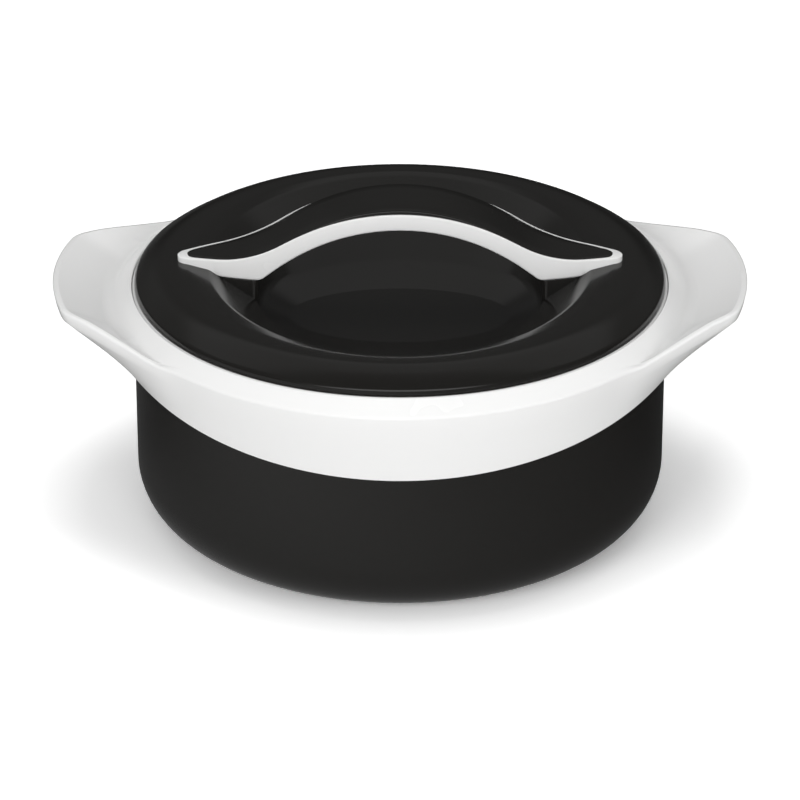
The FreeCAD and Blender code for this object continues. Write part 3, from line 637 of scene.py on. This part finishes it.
def combined(tree_nodes, links, operation, first, second):
    """Two values, or a value and a number, through one sum, product or other operation."""
    node = tree_nodes.new("ShaderNodeMath")
    node.operation = operation
    for socket, value in zip(node.inputs, (first, second)):
        if isinstance(value, (int, float)):
            socket.default_value = value
        else:
            links.new(value, socket)
    return node.outputs["Value"]


def make_floor():
    """White paper: bright to the camera, and in the object's reflections a glowing floor of painted
    light and shade, brighter to the left and front, darker near and behind the object.
    """
    bpy.ops.mesh.primitive_plane_add(size=12.0, location=(0, 0, 0))
    floor = bpy.context.object
    floor.name = "floor"
    material, tree_nodes, links = new_material("paper_sweep")
    tree_nodes.clear()
    output = tree_nodes.new("ShaderNodeOutputMaterial")
    paper = tree_nodes.new("ShaderNodeBsdfDiffuse")
    tint = tree_nodes.new("ShaderNodeMix")
    tint.data_type = "RGBA"
    tint.inputs["A"].default_value = (FLOOR_TONE, FLOOR_TONE, FLOOR_TONE, 1.0)
    tint.inputs["B"].default_value = (FLOOR_GAIN, FLOOR_GAIN, FLOOR_GAIN, 1.0)
    links.new(light_path(tree_nodes, "Is Camera Ray"), tint.inputs["Factor"])
    links.new(tint.outputs["Result"], paper.inputs["Color"])
    # Painted reflection: for glossy rays the floor is an emission, brighter to the left and the
    # front, dimmed towards the object as painted shade.
    painted_reflection = tree_nodes.new("ShaderNodeEmission")
    split = tree_nodes.new("ShaderNodeSeparateXYZ")
    links.new(tree_nodes.new("ShaderNodeTexCoord").outputs["Object"], split.inputs["Vector"])
    across = smooth_step(tree_nodes, links, split.outputs["X"], -0.15, 0.22, 0.44, 0.2)
    depth = smooth_step(tree_nodes, links, split.outputs["Y"], -0.2, 0.05, 1.0, 0.15)
    links.new(combined(tree_nodes, links, "MULTIPLY", across, depth), painted_reflection.inputs["Strength"])
    mix = tree_nodes.new("ShaderNodeMixShader")
    links.new(light_path(tree_nodes, "Is Glossy Ray"), mix.inputs["Fac"])
    links.new(paper.outputs["BSDF"], mix.inputs[1])
    links.new(painted_reflection.outputs["Emission"], mix.inputs[2])
    links.new(mix.outputs["Shader"], output.inputs["Surface"])
    floor.data.materials.append(material)


def make_world():
    """Even light on matt surfaces, and a dim room with soft boxes in the reflections."""
    world = bpy.data.worlds.new("studio")
    bpy.context.scene.world = world
    world.use_nodes = True
    tree_nodes = world.node_tree.nodes
    links = world.node_tree.links
    tree_nodes.clear()
    output = tree_nodes.new("ShaderNodeOutputWorld")
    around = tree_nodes.new("ShaderNodeBackground")
    around.inputs["Color"].default_value = (1.0, 1.0, 1.0, 1.0)
    around.inputs["Strength"].default_value = SKY_STRENGTH
    room = tree_nodes.new("ShaderNodeBackground")
    split = tree_nodes.new("ShaderNodeSeparateXYZ")
    links.new(tree_nodes.new("ShaderNodeTexCoord").outputs["Generated"], split.inputs["Vector"])
    x, y, z = (split.outputs[axis] for axis in "XYZ")
    overhead = combined(
        tree_nodes, links, "MULTIPLY",
        smooth_step(tree_nodes, links, z, 0.6, 0.68, 0.0, 0.26),
        smooth_step(tree_nodes, links, y, 0.02, 0.12, 0.0, 1.0),
    )
    left = smooth_step(tree_nodes, links, x, -0.45, -0.2, 0.06, 0.0)
    right = smooth_step(tree_nodes, links, x, 0.25, 0.5, 0.0, 0.03)
    walls = smooth_step(tree_nodes, links, z, 0.1, 0.45, 0.03, 0.13)
    total = combined(tree_nodes, links, "ADD", overhead, walls)
    total = combined(tree_nodes, links, "ADD", total, left)
    total = combined(tree_nodes, links, "ADD", total, right)
    front = combined(
        tree_nodes, links, "MULTIPLY",
        smooth_step(tree_nodes, links, y, -0.85, -0.75, 2.2, 0.0),
        smooth_step(tree_nodes, links, z, 0.1, 0.2, 0.0, 1.0),
    )
    total = combined(tree_nodes, links, "ADD", total, front)
    links.new(total, room.inputs["Strength"])
    seen = tree_nodes.new("ShaderNodeBackground")
    seen.inputs["Color"].default_value = (1.0, 1.0, 1.0, 1.0)
    glossy = tree_nodes.new("ShaderNodeMixShader")
    links.new(light_path(tree_nodes, "Is Glossy Ray"), glossy.inputs["Fac"])
    links.new(around.outputs["Background"], glossy.inputs[1])
    links.new(room.outputs["Background"], glossy.inputs[2])
    mix = tree_nodes.new("ShaderNodeMixShader")
    links.new(light_path(tree_nodes, "Is Camera Ray"), mix.inputs["Fac"])
    links.new(glossy.outputs["Shader"], mix.inputs[1])
    links.new(seen.outputs["Background"], mix.inputs[2])
    links.new(mix.outputs["Shader"], output.inputs["Surface"])


def soft_box(name, location, size, power, target=(0.0, 0.0, 0.06)):
    light = bpy.data.lights.new(name, "AREA")
    light.shape = "RECTANGLE"
    light.size, light.size_y = size
    light.energy = power
    lamp = bpy.data.objects.new(name, light)
    lamp.location = location
    aim = Vector(target) - Vector(location)
    lamp.rotation_euler = aim.to_track_quat("-Z", "Y").to_euler()
    lamp.visible_glossy = False
    bpy.context.scene.collection.objects.link(lamp)
    return lamp


def make_camera():
    data = bpy.data.cameras.new("camera")
    data.lens = CAMERA_LENS
    data.sensor_width = 36.0
    data.clip_end = 30.0
    camera = bpy.data.objects.new("camera", data)
    camera.location = (0.0, CAMERA_Y, CAMERA_Z)
    camera.rotation_euler = (math.radians(90.0 - CAMERA_PITCH), 0.0, 0.0)
    bpy.context.scene.collection.objects.link(camera)
    bpy.context.scene.camera = camera


make_floor()
make_world()
make_camera()
soft_box("overhead", (0.0, 0.0, 1.4), (0.6, 0.6), 4.8)
soft_box("front_left", (-0.9, -1.5, 0.75), (0.9, 0.9), 12.5)
soft_box("front", (0.2, -1.9, 0.7), (1.2, 0.8), 8.5)
soft_box("right", (1.5, -0.9, 0.5), (0.8, 0.8), 7.5)
bpy.context.scene.view_settings.view_transform = "Standard"
